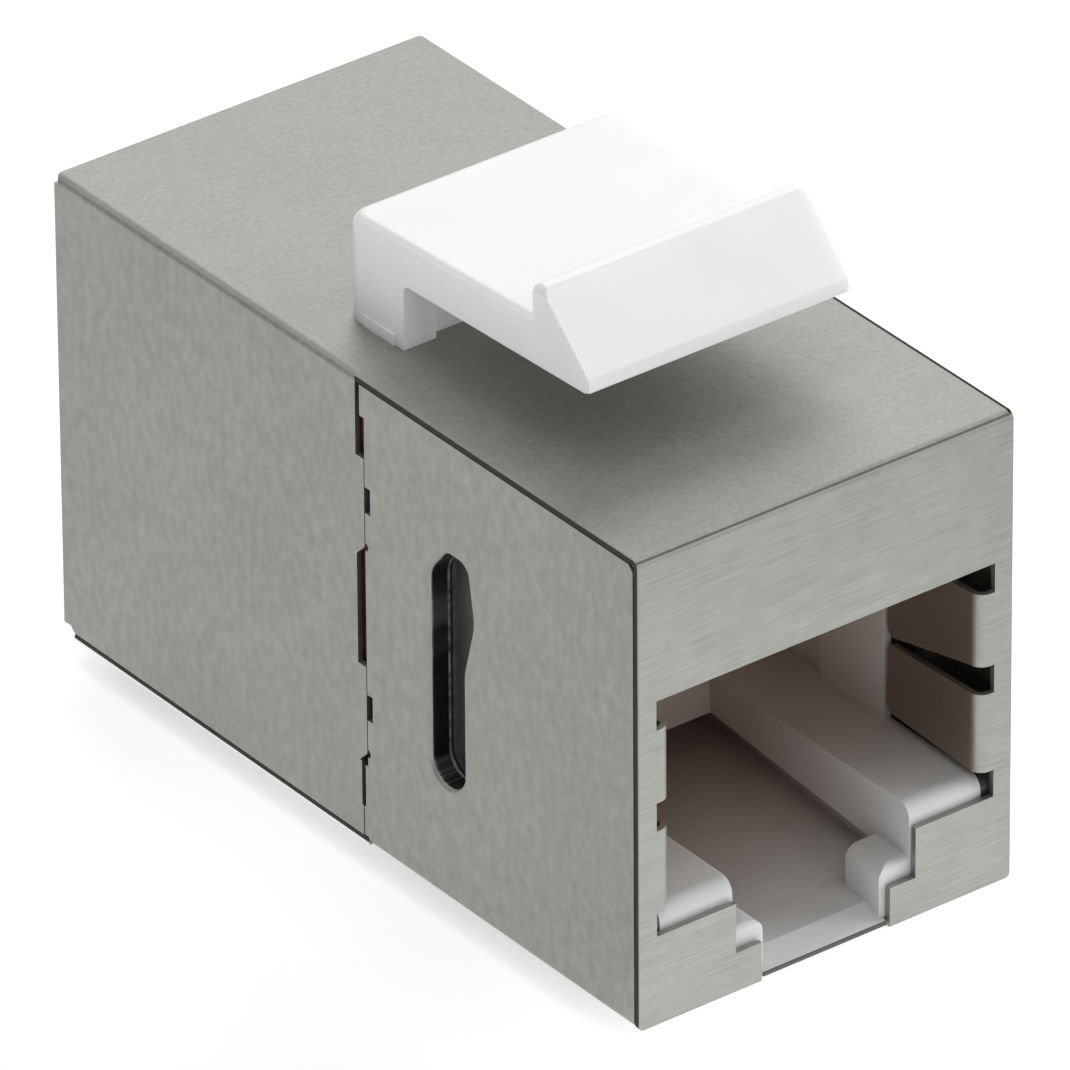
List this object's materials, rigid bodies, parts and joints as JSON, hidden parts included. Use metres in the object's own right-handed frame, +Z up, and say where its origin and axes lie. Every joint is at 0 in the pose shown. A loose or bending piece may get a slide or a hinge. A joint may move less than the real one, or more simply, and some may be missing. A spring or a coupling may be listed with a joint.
{
  "type": "rj45 inline coupler",
  "caption": "Shielded keystone coupler: folded metal box joining two back-to-back modular jacks, with a sprung plastic panel latch on top and pressed catches below.",
  "frame": {"origin": "under the middle of the body, on the plane the pressed catches rest on", "axes": "+X to the right seen from the front port, +Y from the front port to the rear port, +Z up through the latch"},
  "size_m": [0.0144, 0.0298, 0.0231],
  "materials": {
    "shell_sheet": "satin nickel-plated sheet, brushed",
    "latch_plastic": "smooth white moulding",
    "housing_plastic": "off-white moulding, satin",
    "carrier_plastic": "off-white moulding, satin",
    "board": "reddish-brown laminate",
    "contact_gold": "gold-plated spring wire"
  },
  "bodies": {
    "root": {"top_shell": "shell_sheet", "bottom_shell": "shell_sheet", "latch_clip": "latch_plastic", "front_housing": "housing_plastic", "rear_housing": "housing_plastic", "front_contact_carrier": "carrier_plastic", "rear_contact_carrier": "carrier_plastic", "circuit_board": "board", "front_contact_1": "contact_gold", "front_contact_2": "contact_gold", "front_contact_3": "contact_gold", "front_contact_4": "contact_gold", "front_contact_5": "contact_gold", "front_contact_6": "contact_gold", "front_contact_7": "contact_gold", "front_contact_8": "contact_gold", "rear_contact_1": "contact_gold", "rear_contact_2": "contact_gold", "rear_contact_3": "contact_gold", "rear_contact_4": "contact_gold", "rear_contact_5": "contact_gold", "rear_contact_6": "contact_gold", "rear_contact_7": "contact_gold", "rear_contact_8": "contact_gold"}
  },
  "joints": []
}
